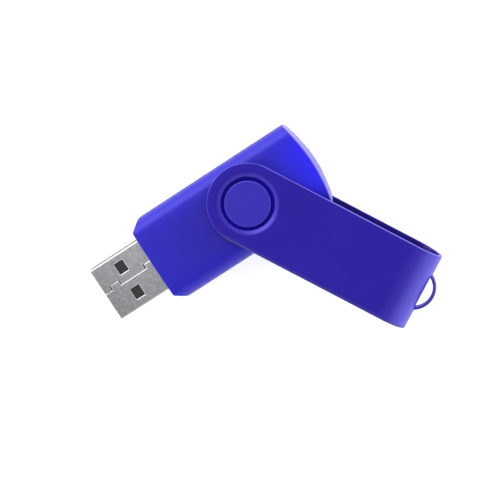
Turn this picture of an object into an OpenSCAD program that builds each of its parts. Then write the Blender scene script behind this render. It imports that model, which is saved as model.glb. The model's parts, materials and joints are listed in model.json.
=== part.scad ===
// USB flash drive with a sheet-metal swivel cover.
// The pivot is the Z axis and X points to the plug. The drive lies on the cover's lower leg and
// the lower boss, at Z = 0, so both halves are symmetric about the plane Z = cover_h / 2.

/* [Plastic body] */
// Width across the sides
body_w = 19; // [18.6:0.1:20]
// Height at the middle of the crown
body_h = 8.8; // [8.6:0.1:8.9]
// Pivot to the front face
body_front = 23.4; // [23:0.1:24.4]
// Pivot to the furthest point of the curved rear end
body_rear = 16.2; // [16:0.1:18]
// Plan radius of the rear end at the parting line
rear_r = 22; // [20:1:30]
// Slope of the rear end away from the parting line, in degrees
rear_draft = 8; // [2:1:10]
// Radius of the crown across the top and bottom
crown_r = 100; // [80:10:200]
// Radius of the long edges
edge_r = 2.4; // [2:0.1:2.8]
// Radius of the edges around the front face
front_edge_r = 0.7; // [0.3:0.1:1]
// Front corner chamfer: length along the body
corner_len = 2.4; // [1.5:0.1:2.8]
// Front corner chamfer: depth across the body
corner_dep = 1.8; // [1:0.1:2]
// Thickness of the moulded walls
wall = 1.2; // [1:0.1:1.3]

/* [Pivot] */
// Radius of the round boss that shows in the cover's hole
boss_r = 4.75; // [4.5:0.05:4.9]
// Radius of the hole in the cover
hole_r = 5.45; // [5.3:0.05:5.6]
// Depth that the hole's rim is turned in, from the cover's outer face
collar_dep = 1.6; // [1.4:0.1:1.7]
// Radial clearance between the collar and its groove
pivot_gap = 0.05; // [0.03:0.01:0.08]

/* [Swivel cover] */
// Height over both legs
cover_h = 10.6; // [10.6:0.1:11]
// Thickness of the steel sheet
sheet = 0.7; // [0.6:0.05:0.7]
// Width of the cover
cover_w = 16.8; // [16:0.1:17.4]
// Pivot to the outside of the closed end
cover_len = 40.3; // [40:0.1:44]
// Direction of the closed end from the X axis at rest, in degrees
rest_angle = 119.3; // [90:0.1:180]
// Height by which the lanyard loop stands out of the closed end
loop_out = 2.4; // [2:0.1:3]
// Length of the lanyard loop along the closed end
loop_len = 8.2; // [8:0.1:10]
// Width of the loop's strip
loop_w = 2.4; // [2:0.1:3]
// Thickness of the loop's strip
loop_t = 0.6; // [0.5:0.05:0.7]

/* [USB plug] */
// Width of the plug
plug_w = 12; // [12]
// Height of the plug
plug_h = 4.5; // [4.5]
// Length that stands out of the body
plug_out = 12; // [11.5:0.1:12.5]
// Whole length of the plug's shell
plug_len = 18.8; // [18:0.1:19]
// Thickness of the plug's sheet
plug_sheet = 0.3; // [0.3]
// Outer corner radius of the plug
plug_corner = 0.6; // [0.5:0.1:0.8]
// Width of the lock windows, across the plug
window_w = 2.4; // [2.2:0.1:2.5]
// Length of the lock windows, along the plug
window_len = 1.9; // [1.8:0.1:2]
// Middle of the windows from the tip
window_back = 6; // [5.8:0.1:6.2]
// Middle of the windows from the plug's centre line
window_side = 3.05; // [3:0.05:3.2]

/* [Circuit board] */
// Length of the board behind the plug
board_len = 28.7; // [28:0.1:29]
// Width of the board
board_w = 15; // [14.6:0.1:15.2]
// Thickness of the board
board_t = 0.8; // [0.8]

/* [Hidden] */

body_colour = [0.21, 0.19, 0.72];
cover_colour = [0.19, 0.15, 0.63];
steel_colour = [0.66, 0.66, 0.69];
gold_colour = [0.83, 0.69, 0.37];
tin_colour = [0.75, 0.76, 0.78];
black_colour = [0.09, 0.09, 0.1];
board_colour = [0.06, 0.33, 0.2];

mid_z = cover_h / 2;
eps = 0.01;
far = 60;

// Body section: the edge arcs are tangent to the crown arcs and to the sides
crown_z = body_h / 2 - crown_r;
edge_y = body_w / 2 - edge_r;
edge_z = crown_z + sqrt(pow(crown_r - edge_r, 2) - pow(edge_y, 2));
rear_x = rear_r - body_rear;

// Shell halves
boss_top = cover_h / 2;
collar_r = hole_r + 0.6;
groove_r = collar_r + pivot_gap;
groove_z = cover_h / 2 - collar_dep - 0.2;
seat_t = 0.8;
seat_r = groove_r + 1;
lip_h = 0.6;
lip_t = 0.55;
lip_gap = 0.05;
peg_r = 0.45;
peg_gap = 0.02;
peg_h = 1.2;
post_r = 0.9;
pegs = [[-13.6, 3.8], [-13.6, -3.8], [19.6, 7.25], [19.6, -7.25]];
rib_size = [1.2, 0.9];
ribs = [[-10.4, 7], [-10.4, -7], [11.6, 7], [11.6, -7]];

// Plug
tip_x = body_front + plug_out;
plug_back = tip_x - plug_len;
plug_fit = 0.05;
seam_gap = 0.06;
seam_step = 1;
seam_tab = [1.8, 4];
seam_tab_back = 10.1;
relief_w = 0.25;
leg_len = 3;
leg_h = 1.6;

// Heights of the board, its copper and the contacts, as Z from the parting line
pad_t = 0.04;
contact_t = 0.25;
contact_w = 1;
board_top = -0.15;
board_bottom = board_top - board_t;
parts_top = board_top + pad_t;
parts_bottom = board_bottom - pad_t;
board_front = plug_back - 0.4;
board_back = board_front - board_len;
nose_len = 3;
nose_w = 10.8;
notch_w = 0.6;

// Insulator in the plug
tongue_z = 0;
tongue_front = tip_x - 0.5;
block_x = [plug_back + 2.8, plug_back + 5.8];
contact_y = [3.5, 1, -1, -3.5];
long_tip = tip_x - 1.4;
short_tip = tip_x - 2.4;
tail_x = board_front - 2.6;

// Places of the parts on the board
flash_at = [-1.2, 0];
flash_size = [18.4, 12, 1];
controller_at = [6.6, 0];
controller_size = [7, 7, 1.4];
regulator_at = [-8.6, 3.6];
regulator_size = [1.3, 2.9, 1];
crystal_at = [-3.6, -3.6];
crystal_size = [5, 3.2];
led_at = [-10.9, -3.6];
cap_size = [1.6, 0.8, 0.8];
resistor_size = [1, 0.5, 0.35];
terminal_len = 0.25;
under_caps = [[-3.6, 3.4], [-6, 0.6], [-0.2, 2.4], [12.8, 3.6], [12.8, -3.6], [-9.4, 0]];
top_resistors = [[11.4, 1], [11.4, -1], [11.4, 2.6], [11.4, -2.6]];
stand = 0.1;

// ---- shared shapes ----

// Rectangle with round corners, centred
module round_rect(size, r) {
    square([size.x - 2 * r, size.y], center = true);
    square([size.x, size.y - 2 * r], center = true);
    for (x = [-1, 1], y = [-1, 1])
        translate([x * (size.x / 2 - r), y * (size.y / 2 - r)])
            circle(r = r, $fn = 48);
}

// Block whose footprint is centred on a point, from one height to another
module block(at, size, z0, z1) {
    translate([at.x - size.x / 2, at.y - size.y / 2, z0])
        cube([size.x, size.y, z1 - z0]);
}

// Extrudes an outline drawn in X and Z by w across Y, centred
module across(w) {
    rotate([90, 0, 0])
        linear_extrude(w, center = true)
            children();
}

// ---- plastic body ----

module body_section(inset) {
    crown = crown_r - inset;
    edge = edge_r - inset;
    tangent_y = edge_y * crown / (crown_r - edge_r);
    intersection() {
        translate([0, crown_z]) circle(r = crown, $fn = 720);
        translate([0, -crown_z]) circle(r = crown, $fn = 720);
        square([2 * tangent_y, body_h], center = true);
    }
    for (y = [-1, 1], z = [-1, 1])
        translate([y * edge_y, z * edge_z])
            circle(r = edge, $fn = 72);
    square([body_w - 2 * inset, 2 * edge_z], center = true);
}

// Plan of the front end with its two corner chamfers
module body_plan(inset) {
    x = body_front - inset;
    w = body_w / 2;
    cut = inset * 0.5;
    polygon([
        [-far, -w], [x - corner_len + cut, -w], [x, -w + corner_dep + cut],
        [x, w - corner_dep - cut], [x - corner_len + cut, w], [-far, w],
    ]);
}

// Side view with the rounded edges of the front face
module body_side(inset) {
    r = max(front_edge_r - inset, 0.1);
    x = body_front - inset;
    h = body_h - 2 * inset;
    translate([x - far / 2, 0]) round_rect([far, h], r);
}

// Rear end: a wheel-shaped form whose rim slopes away from the parting line
module body_rear_form(inset) {
    r = rear_r - inset;
    slope = body_h * tan(rear_draft);
    translate([rear_x, 0, 0])
        rotate_extrude($fn = 240)
            polygon([[0, -body_h], [r - slope, -body_h], [r, 0], [r - slope, body_h], [0, body_h]]);
}

// Whole outer form of the body, drawn smaller by the inset on every side
module body_form(inset) {
    intersection() {
        rotate([90, 0, 90])
            linear_extrude(2 * far, center = true)
                body_section(inset);
        linear_extrude(2 * body_h, center = true) body_plan(inset);
        across(2 * body_w) body_side(inset);
        body_rear_form(inset);
    }
}

module upper_half_space() {
    translate([-far, -far, 0]) cube([2 * far, 2 * far, far]);
}

// One moulded half with its pivot boss and groove, above the parting line
module shell_half() {
    difference() {
        union() {
            intersection() {
                difference() {
                    body_form(0);
                    body_form(wall);
                }
                upper_half_space();
            }
            intersection() {
                body_form(0);
                translate([0, 0, groove_z - seat_t]) cylinder(r = seat_r, h = far, $fn = 96);
            }
            translate([0, 0, groove_z - seat_t])
                cylinder(r = boss_r, h = boss_top - groove_z + seat_t, $fn = 96);
        }
        translate([0, 0, groove_z])
            difference() {
                cylinder(r = groove_r, h = far, $fn = 96);
                cylinder(r = boss_r, h = far, $fn = 96);
            }
        translate([0, 0, -eps])
            cylinder(r = boss_r - wall, h = boss_top - wall + eps, $fn = 96);
        plug_opening();
    }
}

// Opening that the plug's shell passes through
module plug_opening() {
    translate([body_front - 3, 0, 0])
        rotate([90, 0, 90])
            linear_extrude(6)
                round_rect([plug_w + 2 * plug_fit, plug_h + 2 * plug_fit], plug_corner);
}

// Posts for the pegs, and ribs that meet the board, clipped to the walls, between two heights
module posts(z0, z1) {
    intersection() {
        body_form(wall - eps);
        for (p = pegs)
            translate([p.x, p.y, z0]) cylinder(r = post_r, h = z1 - z0, $fn = 48);
    }
}

module board_ribs(z0, z1) {
    intersection() {
        body_form(wall - eps);
        for (p = ribs) block(p, rib_size, z0, z1);
    }
}

// Ring that stands in the middle of the walls, just above the parting line
module lip_ring(outer, inner, h) {
    intersection() {
        difference() {
            body_form(outer);
            body_form(inner);
        }
        translate([-far, -far, -eps]) cube([2 * far, 2 * far, h + eps]);
    }
}

module upper_shell() {
    color(body_colour)
        translate([0, 0, mid_z]) {
            difference() {
                union() {
                    shell_half();
                    posts(0, body_h);
                }
                lip_ring(wall - lip_t - lip_gap, wall + eps, lip_h + lip_gap);
                for (p = pegs)
                    translate([p.x, p.y, -eps])
                        cylinder(r = peg_r + peg_gap, h = peg_h + 0.2, $fn = 32);
            }
            difference() {
                board_ribs(board_top, body_h);
                lip_ring(wall - lip_t - lip_gap, wall + eps, lip_h + lip_gap);
            }
        }
}

module lower_shell() {
    color(body_colour)
        translate([0, 0, mid_z]) {
            mirror([0, 0, 1]) shell_half();
            difference() {
                lip_ring(wall - lip_t, wall, lip_h);
                plug_opening();
            }
            posts(-body_h, 0);
            for (p = pegs)
                translate([p.x, p.y, -eps]) cylinder(r = peg_r, h = peg_h + eps, $fn = 32);
            board_ribs(-body_h, board_bottom);
        }
}

// ---- USB plug ----

// Line of the seam, seen from above, from the tip backwards
module seam_plan() {
    g = seam_gap / 2;
    x1 = tip_x - seam_tab[0];
    x2 = tip_x - seam_tab[1];
    x3 = tip_x - seam_tab_back;
    translate([x1 - g, -g]) square([seam_tab[0] + 1, seam_gap]);
    translate([x2 - g, -seam_step - g]) square([x1 - x2 + 2 * g, seam_gap]);
    translate([x3 - g, -g]) square([x2 - x3 + 2 * g, seam_gap]);
    translate([plug_back - 1, -seam_step - g]) square([x3 - plug_back + 1 + g, seam_gap]);
    for (x = [x1, x2, x3])
        translate([x - relief_w / 2, -seam_step - g]) square([relief_w, seam_step + 2 * g]);
}

module plug_shell() {
    inner = [plug_w - 2 * plug_sheet, plug_h - 2 * plug_sheet];
    color(steel_colour)
        translate([0, 0, mid_z]) {
            difference() {
                translate([plug_back, 0, 0])
                    rotate([90, 0, 90])
                        linear_extrude(plug_len)
                            difference() {
                                round_rect([plug_w, plug_h], plug_corner);
                                round_rect(inner, plug_corner - plug_sheet);
                            }
                for (y = [-1, 1])
                    translate([tip_x - window_back, y * window_side, 0])
                        cube([window_len, window_w, 2 * plug_h], center = true);
                linear_extrude(plug_h) seam_plan();
            }
            // Legs soldered into the board's notches
            for (y = [-1, 1])
                translate([plug_back - leg_len, y * (plug_w - plug_sheet) / 2 - plug_sheet / 2, board_bottom - 0.5])
                    cube([leg_len + eps, plug_sheet, leg_h]);
        }
}

module plug_insulator() {
    fit = 0.02;
    w = plug_w - 2 * plug_sheet - 2 * fit;
    top = plug_h / 2 - plug_sheet - fit;
    r = plug_corner - plug_sheet;
    color(black_colour)
        translate([0, 0, mid_z])
            difference() {
                union() {
                    intersection() {
                        translate([plug_back, 0, 0])
                            rotate([90, 0, 90])
                                linear_extrude(tongue_front - plug_back)
                                    round_rect([w, 2 * top], r);
                        translate([plug_back, -w, tongue_z]) cube([plug_len, 2 * w, plug_h]);
                    }
                    translate([block_x[0], 0, 0])
                        rotate([90, 0, 90])
                            linear_extrude(block_x[1] - block_x[0])
                                round_rect([w, 2 * top], r);
                }
                // Channels that hold the contacts
                for (i = [0:3])
                    translate([plug_back - 1, contact_y[i] - contact_w / 2, parts_top])
                        cube([contact_tip(i) - plug_back + 1, contact_w, contact_t]);
            }
}

function contact_tip(i) = (i == 0 || i == 3) ? long_tip : short_tip;

// Stamped contact: a flat strip with a bevelled lead-in at its tip
module contact(i) {
    tip = contact_tip(i);
    color(gold_colour)
        translate([0, contact_y[i], mid_z])
            across(contact_w)
                polygon([
                    [tail_x, parts_top], [tip - 0.8, parts_top], [tip, parts_top + 0.15],
                    [tip, parts_top + contact_t], [tail_x, parts_top + contact_t],
                ]);
}

module contact_power() { contact(0); }
module contact_data_minus() { contact(1); }
module contact_data_plus() { contact(2); }
module contact_ground() { contact(3); }

// ---- circuit board ----

module board_plan() {
    leg_y = (plug_w - plug_sheet) / 2;
    difference() {
        union() {
            translate([board_back, -board_w / 2]) square([board_len, board_w]);
            translate([board_front - eps, -nose_w / 2]) square([nose_len, nose_w]);
        }
        for (y = [-1, 1])
            translate([board_front - leg_len, y * leg_y - notch_w / 2])
                square([leg_len + 1, notch_w]);
    }
}

module circuit_board() {
    color(board_colour)
        translate([0, 0, mid_z + board_bottom])
            linear_extrude(board_t) board_plan();
}

// Pads under one row of leads
module pad_row(at, n, pitch, size, z) {
    for (i = [0:n - 1])
        block([at.x, at.y + (i - (n - 1) / 2) * pitch], size, z, z + pad_t);
}

flash_lead_x = flash_size.x / 2 + 0.5;
controller_lead = controller_size.x / 2 + 0.65;

module circuit_pads() {
    color(gold_colour)
        translate([0, 0, mid_z]) {
            for (y = contact_y)
                block([tail_x + 0.9, y], [3, 1.5], board_top, parts_top);
            for (s = [-1, 1])
                pad_row([flash_at.x + s * flash_lead_x, flash_at.y], 24, 0.5, [1.1, 0.28], board_top);
            for (q = [0:3])
                translate([controller_at.x, controller_at.y, 0])
                    rotate([0, 0, 90 * q])
                        pad_row([controller_lead, 0], 12, 0.5, [1.1, 0.28], parts_bottom);
            for (p = top_resistors, s = [-1, 1])
                block([p.x + s * resistor_size.x / 2, p.y], [0.5, 0.6], board_top, parts_top);
            for (p = under_caps, s = [-1, 1])
                block([p.x + s * cap_size.x / 2, p.y], [0.8, 0.9], parts_bottom, board_bottom);
            for (s = [-1, 1]) {
                block([led_at.x, led_at.y + s * 0.8], [0.9, 0.8], parts_bottom, board_bottom);
                block([crystal_at.x + s * 2, crystal_at.y], [1.2, 2.6], parts_bottom, board_bottom);
            }
            for (y = [-0.95, 0, 0.95])
                block([regulator_at.x + 1.2, regulator_at.y + y], [0.9, 0.5], parts_bottom, board_bottom);
            block([regulator_at.x - 1.2, regulator_at.y], [0.9, 1.6], parts_bottom, board_bottom);
        }
}

// ---- parts on the board ----

// Package body: a block whose four sides slope to a middle line
module package(at, size, z, up) {
    h = size.z / 2;
    t = 0.12;
    translate([at.x, at.y, z + up * (stand + h)])
        intersection() {
            across(size.y)
                polygon([
                    [-size.x / 2 + t, -h], [size.x / 2 - t, -h], [size.x / 2, 0],
                    [size.x / 2 - t, h], [-size.x / 2 + t, h], [-size.x / 2, 0],
                ]);
            rotate([0, 0, 90])
                across(size.x)
                    polygon([
                        [-size.y / 2 + t, -h], [size.y / 2 - t, -h], [size.y / 2, 0],
                        [size.y / 2 - t, h], [-size.y / 2 + t, h], [-size.y / 2, 0],
                    ]);
        }
}

// Gull-wing lead in X and Z: leaves the package at x = 0 and its foot stands on z = 0
module lead_outline(run, rise, t) {
    knee = run * 0.35;
    polygon([
        [0, rise], [knee, rise], [knee + 0.12, t], [run, t],
        [run, 0], [knee + 0.04, 0], [knee - 0.08, rise - t], [0, rise - t],
    ]);
}

module lead_row(n, pitch, w, run, rise, t) {
    for (i = [0:n - 1])
        translate([0, (i - (n - 1) / 2) * pitch, 0])
            across(w) lead_outline(run, rise, t);
}

module flash_chip() {
    color(black_colour)
        translate([0, 0, mid_z])
            difference() {
                package(flash_at, flash_size, parts_top, 1);
                // Round mark at pin 1
                translate([flash_at.x - 8.2, flash_at.y - 5, parts_top + stand + flash_size.z - 0.05])
                    cylinder(r = 0.5, h = 1, $fn = 32);
            }
}

module flash_chip_leads() {
    color(tin_colour)
        translate([flash_at.x, flash_at.y, mid_z + parts_top])
            for (a = [0, 180])
                rotate([0, 0, a])
                    translate([flash_size.x / 2, 0, 0])
                        lead_row(24, 0.5, 0.2, 0.8, stand + flash_size.z / 2 + 0.075, 0.15);
}

module controller_chip() {
    color(black_colour)
        translate([0, 0, mid_z])
            difference() {
                package(controller_at, controller_size, parts_bottom, -1);
                translate([controller_at.x - 2.6, controller_at.y - 2.6,
                           parts_bottom - stand - controller_size.z - 1 + 0.05])
                    cylinder(r = 0.4, h = 1, $fn = 32);
            }
}

module controller_leads() {
    color(tin_colour)
        translate([controller_at.x, controller_at.y, mid_z + parts_bottom])
            mirror([0, 0, 1])
                for (q = [0:3])
                    rotate([0, 0, 90 * q])
                        translate([controller_size.x / 2, 0, 0])
                            lead_row(12, 0.5, 0.2, 1, stand + controller_size.z / 2 + 0.075, 0.15);
}

module voltage_regulator() {
    color(black_colour)
        translate([0, 0, mid_z]) package(regulator_at, regulator_size, parts_bottom, -1);
}

module regulator_leads() {
    color(tin_colour)
        translate([regulator_at.x, regulator_at.y, mid_z + parts_bottom])
            mirror([0, 0, 1]) {
                rise = stand + regulator_size.z / 2 + 0.06;
                translate([regulator_size.x / 2, 0, 0]) lead_row(3, 0.95, 0.35, 0.7, rise, 0.12);
                rotate([0, 0, 180])
                    translate([regulator_size.x / 2, 0, 0]) lead_row(1, 0.95, 1.4, 0.7, rise, 0.12);
            }
}

module crystal_base() {
    color([0.75, 0.72, 0.66])
        translate([0, 0, mid_z])
            block(crystal_at, crystal_size, parts_bottom - 0.5, parts_bottom);
}

module crystal_lid() {
    size = [crystal_size.x - 0.4, crystal_size.y - 0.4];
    color(steel_colour)
        translate([crystal_at.x, crystal_at.y, mid_z + parts_bottom - 0.9])
            linear_extrude(0.4) round_rect(size, 0.3);
}

// Ceramic middle of a two-terminal part that lies along X
module passive_body(at, size, z0) {
    block(at, [size.x - 2 * terminal_len, size.y], z0, z0 + size.z);
}

module passive_ends(at, size, z0) {
    for (s = [-1, 1])
        block([at.x + s * (size.x - terminal_len) / 2, at.y], [terminal_len, size.y], z0, z0 + size.z);
}

module capacitors() {
    color([0.62, 0.5, 0.36])
        translate([0, 0, mid_z])
            for (p = under_caps) passive_body(p, cap_size, parts_bottom - cap_size.z);
}

module resistors() {
    color(black_colour)
        translate([0, 0, mid_z])
            for (p = top_resistors) passive_body(p, resistor_size, parts_top);
}

module chip_terminals() {
    color(tin_colour)
        translate([0, 0, mid_z]) {
            for (p = under_caps) passive_ends(p, cap_size, parts_bottom - cap_size.z);
            for (p = top_resistors) passive_ends(p, resistor_size, parts_top);
        }
}

module activity_led() {
    color([0.9, 0.9, 0.82])
        translate([led_at.x, led_at.y, mid_z + parts_bottom]) {
            translate([-0.4, -0.8, -0.25]) cube([0.8, 1.6, 0.25]);
            translate([0, 0, -0.6])
                across(1)
                    polygon([[-0.3, 0], [0.3, 0], [0.4, 0.36], [-0.4, 0.36]]);
        }
}

// Solder fillets behind the contact tails and beside the plug's legs
module solder_joints() {
    leg_y = plug_w / 2;
    color(tin_colour)
        translate([0, 0, mid_z]) {
            for (y = contact_y)
                translate([tail_x, y, parts_top])
                    across(contact_w)
                        polygon([[-0.5, 0], [0, 0], [0, 0.2]]);
            for (s = [-1, 1])
                translate([plug_back - leg_len / 2 - 0.3, 0, board_top])
                    mirror([0, s < 0 ? 1 : 0, 0])
                        rotate([90, 0, 90])
                            linear_extrude(1.8, center = true)
                                polygon([[leg_y, 0], [leg_y + 0.45, 0], [leg_y, 0.3]]);
        }
}

// ---- swivel cover ----

// Outline of the bent strip in X and Z
module u_outline(inset) {
    r = cover_h / 2 - inset;
    x = cover_len - cover_h / 2;
    translate([-far, mid_z - r]) square([far + x, 2 * r]);
    translate([x, mid_z]) circle(r = r, $fn = 96);
}

// Rolled rim of the pivot hole: X is the radius, 0 is the leg's outer face
module collar_outline() {
    bend = sheet;
    intersection() {
        translate([hole_r + bend, -bend]) circle(r = bend, $fn = 48);
        translate([hole_r, -bend]) square([bend, bend]);
    }
    translate([hole_r, -collar_dep]) square([collar_r - hole_r, collar_dep - bend]);
}

module collar() {
    rotate_extrude($fn = 96) collar_outline();
}

// Lanyard loop: a strip of the closed end, pressed out to an arc
module loop_strip() {
    r = (pow(loop_len / 2, 2) + pow(loop_out, 2)) / (2 * loop_out);
    x = cover_len + loop_out - r;
    translate([0, 0, mid_z - loop_w / 2])
        linear_extrude(loop_w)
            intersection() {
                translate([x, 0])
                    difference() {
                        circle(r = r, $fn = 120);
                        circle(r = r - loop_t, $fn = 120);
                    }
                translate([cover_len - sheet + 0.1, -loop_len]) square([far, 2 * loop_len]);
            }
}

module swivel_cover() {
    slot_len = loop_len - 2 * loop_t + 0.2;
    slot_w = loop_w + 0.2;
    color(cover_colour)
        rotate([0, 0, rest_angle]) {
            difference() {
                intersection() {
                    across(cover_w)
                        difference() {
                            u_outline(0);
                            u_outline(sheet);
                        }
                    linear_extrude(cover_h) {
                        circle(r = cover_w / 2, $fn = 180);
                        translate([0, -cover_w / 2]) square([far, cover_w]);
                    }
                }
                translate([0, 0, -1]) cylinder(r = hole_r + sheet, h = cover_h + 2, $fn = 96);
                translate([cover_len - 2 * sheet, -slot_len / 2, mid_z - slot_w / 2])
                    cube([far, slot_len, slot_w]);
            }
            translate([0, 0, cover_h]) collar();
            mirror([0, 0, 1]) collar();
            loop_strip();
        }
}

upper_shell();
lower_shell();
plug_shell();
plug_insulator();
contact_power();
contact_data_minus();
contact_data_plus();
contact_ground();
circuit_board();
circuit_pads();
flash_chip();
flash_chip_leads();
controller_chip();
controller_leads();
voltage_regulator();
regulator_leads();
crystal_base();
crystal_lid();
capacitors();
resistors();
chip_terminals();
activity_led();
solder_joints();
swivel_cover();
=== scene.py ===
import json
import math
from contextlib import contextmanager

import bmesh
import bpy
from mathutils import Matrix, Vector
from mathutils.geometry import delaunay_2d_cdt


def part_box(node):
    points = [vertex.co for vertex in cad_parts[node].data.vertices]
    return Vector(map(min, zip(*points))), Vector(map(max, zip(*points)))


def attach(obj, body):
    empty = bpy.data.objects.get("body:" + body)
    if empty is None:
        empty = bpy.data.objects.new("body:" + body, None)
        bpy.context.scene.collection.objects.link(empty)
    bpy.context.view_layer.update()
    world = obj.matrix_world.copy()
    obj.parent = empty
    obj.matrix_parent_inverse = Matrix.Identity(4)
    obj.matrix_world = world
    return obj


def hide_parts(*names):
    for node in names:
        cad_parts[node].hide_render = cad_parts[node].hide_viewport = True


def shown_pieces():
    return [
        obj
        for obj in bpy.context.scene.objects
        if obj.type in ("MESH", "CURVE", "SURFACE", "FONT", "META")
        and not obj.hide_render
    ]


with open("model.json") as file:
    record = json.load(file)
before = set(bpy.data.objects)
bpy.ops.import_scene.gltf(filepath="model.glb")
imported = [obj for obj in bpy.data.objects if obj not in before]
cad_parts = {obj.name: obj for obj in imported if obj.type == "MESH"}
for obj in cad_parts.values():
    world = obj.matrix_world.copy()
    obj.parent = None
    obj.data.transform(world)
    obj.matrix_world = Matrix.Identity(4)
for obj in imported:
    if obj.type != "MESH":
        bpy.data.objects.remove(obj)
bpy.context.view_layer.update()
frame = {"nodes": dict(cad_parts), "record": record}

MM = 0.001


def box(node):
    """Lowest and highest corners of a CAD node, in millimetres."""
    low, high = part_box(node)
    return low / MM, high / MM


# ---- sizes in millimetres: pivot on the Z axis, X towards the plug, rest plane at Z = 0 ----

body_low, body_high = box("upper_shell")
_, cover_high = box("swivel_cover")
plug_low, plug_high = box("plug_shell")
board_low, board_high = box("circuit_board")
loop_mount = next(m for m in frame["record"]["mounts"] if m["name"] == "lanyard_loop")

# Plastic body: its section, the half width of the parting groove and the walls
MID = cover_high.z / 2
BODY_W = body_high.y - body_low.y
BODY_H = 8.8
BODY_FRONT = body_high.x
BODY_REAR = -body_low.x
CROWN_R = 100
EDGE_R = 2.6
PARTING = 0.09
WALL = 1.2

# Rear face: radii at the parting line and at the top, how far the top leans in, and the edge
REAR_R = 24
REAR_TOP_R = 36
REAR_BACK = 0.55
REAR_EDGE = 0.28

# Front face: its edge, its chamfered corners and the short blend into each chamfer
FRONT_EDGE = 0.18
CORNER_LEN = 2.3
CORNER_DEP = 1.85
CORNER_SOFT = 0.08

# Shoulders: distance from the middle at which the crown begins to fall off, and the fall at the side
SOFT_FROM = 4.6
SOFT_DROP = 0.6

# Spacing of points: rows up the sides, angles round edge and crown, end faces, pivot patch and lip, and
# the sides of round parts from the large to the small
SIDE_ROWS = (0.6, 1.2)
HOLLOW_ROW = 0.2
EDGE_STEP = 0.08
CROWN_STEP = 0.006
END_STEP = 0.35
END_ROWS = (PARTING, 0.5, 1, 1.5, 2, 2.5, 3, 3.5)
PATCH_STEP = 0.8
LIP_STEP = 0.6
ROUND_STEPS = 128
CORE_STEPS = 96
POST_STEPS = 48
PEG_STEPS = 32

# Pivot: the boss, the groove round it, the seat below both and the half size of the patch they are in
BOSS_R = 4.75
BOSS_EDGE = 0.22
BOSS_RINGS = (4.3, 3.2, 1.8, 0.6)
GROOVE_R = 6.1
GROOVE_Z = 3.5
GROOVE_EDGE = 0.15
GROOVE_FOOT = 0.1
SEAT_R = 7.1
SEAT_Z = 2.7
PATCH = 6.9
CORE_EDGE = 0.3

# Drawn rims of the cover's two holes, with a pressed-in shoulder that eases into the flat sheet
HOLE_R = 5.45
COLLAR_R = 6.05
COLLAR_DEP = 1.6
COLLAR_EDGE = 0.15
COLLAR_FILLET = 0.25
SHOULDER = 0.95
SHOULDER_EASE = 0.4
SHOULDER_SLOPE = 0.46
SHOULDER_TURN = 0.3
EASE_STEP = 0.06
TURN_STEP = 0.2

# Swivel cover
SHEET = 0.7
COVER_W = 16.8
COVER_LEN = 40.3
COVER_ROLL = (0.16, 0.16)
REST_ANGLE = math.atan2(loop_mount["pos_m"][1], loop_mount["pos_m"][0])

# Its points: spacing along legs and bend, across and round arcs, and what stays clear of edge and rims
LEG_STEP = 2
BEND_STEP = 0.35
CROSS_STEP = 1.1
ARC_STEP = 0.05
EDGE_CLEAR = 1
RIM_CLEAR = 0.6

# Lanyard loop with flared feet, and the slot that it is pressed out of
SLOT_W = 2.9
SLOT_END = 0.15
SLOT_CORNER = 0.35
LOOP_OUT = 2.4
LOOP_LEN = 8.2
LOOP_W = 2.4
LOOP_T = 0.6
LOOP_EDGE = 0.12
LOOP_FLARE = 0.6
LOOP_SUNK = 0.04
LOOP_STEP = 0.4
FLARE_STEP = 0.12

# USB plug: its sheet and its legs
PLUG_W = 12
PLUG_H = 4.5
PLUG_SHEET = 0.3
PLUG_CORNER = 0.5
PLUG_ROLL = (0.15, 0.1)
PLUG_FIT = 0.05
PLUG_STEP = 1.2
PLUG_CLEAR = 0.8
FOLD_STEP = 0.12
LEG_LEN = 3
LEG_Z = (-1.45, 0.15)
TIP = plug_high.x
PLUG_BACK = plug_low.x + LEG_LEN

# Its seam, with the steps as distances from the tip, and its lock windows
SEAM_GAP = 0.05
SEAM_STEP = 1
SEAM_STEPS_BACK = (1.8, 4, 10.1)
RELIEF = 0.25
WINDOW = (2.12, 2.55)
WINDOW_BACK = 6
WINDOW_SIDE = 3.05
WINDOW_CORNER = 0.18

# Rounded edges of the contacts and of their carrier
CONTACT_EDGE = 0.04
CARRIER_EDGE = 0.08

# Inside the body, as heights above the parting line
LIP_H = 0.6
LIP_OUT = 0.65
LIP_GAP = 0.05
BOARD_TOP = board_high.z - MID
BOARD_BOTTOM = board_low.z - MID
PEGS = ((-13.6, 3.8), (-13.6, -3.8), (19.6, 7.25), (19.6, -7.25))
PEG_R = 0.45
PEG_GAP = 0.02
PEG_H = 1.2
PEG_EDGE = 0.12
PEG_ROOM = 0.2
POST_R = 0.9
RIBS = ((-10.4, 7), (-10.4, -7), (11.6, 7), (11.6, -7))
RIB_SIZE = (1.2, 0.9)

# For booleans: overlap of solids, reach of a tool past what it cuts, and a height past everything
OVERLAP = 0.02
CUT = 1
FAR = 12

# ---- mesh tools ----

# Points closer than this are welded, shorter edges are dropped, a bend of this many degrees is sharp
WELD = 0.002
SLIVER = 0.0005
SHARP_ANGLE = 32

# Names of the masks that are stored on the points of a mesh, for the materials
WEAR_AND_HIGHLIGHT = "wear"
INNER = "inner"
RECESS = "recess"
PAINTED_LIGHT = "pale"

# Bends between faces, in radians, from which an edge counts as worn and as fully worn; the mask is partly
# real wear and partly a painted edge highlight
WEAR_HIGHLIGHT_FROM = 0.25
WEAR_HIGHLIGHT_FULL = 0.38

# The gap round the boss: its radii, and how far it starts below the boss's face
RECESS_RADII = (BOSS_R - 0.05, GROOVE_R + 0.2)
RECESS_DEPTH = 0.5

# The pale mask: pale colour as painted light on the rear face and as a painted sheen on the bosses, and
# how close to these faces a point has to be
REAR_PAINTED_LIGHT = 0.8
BOSS_PAINTED_SHEEN = 0.1
REAR_NEAR = 0.05
BOSS_NEAR = 0.3


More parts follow.
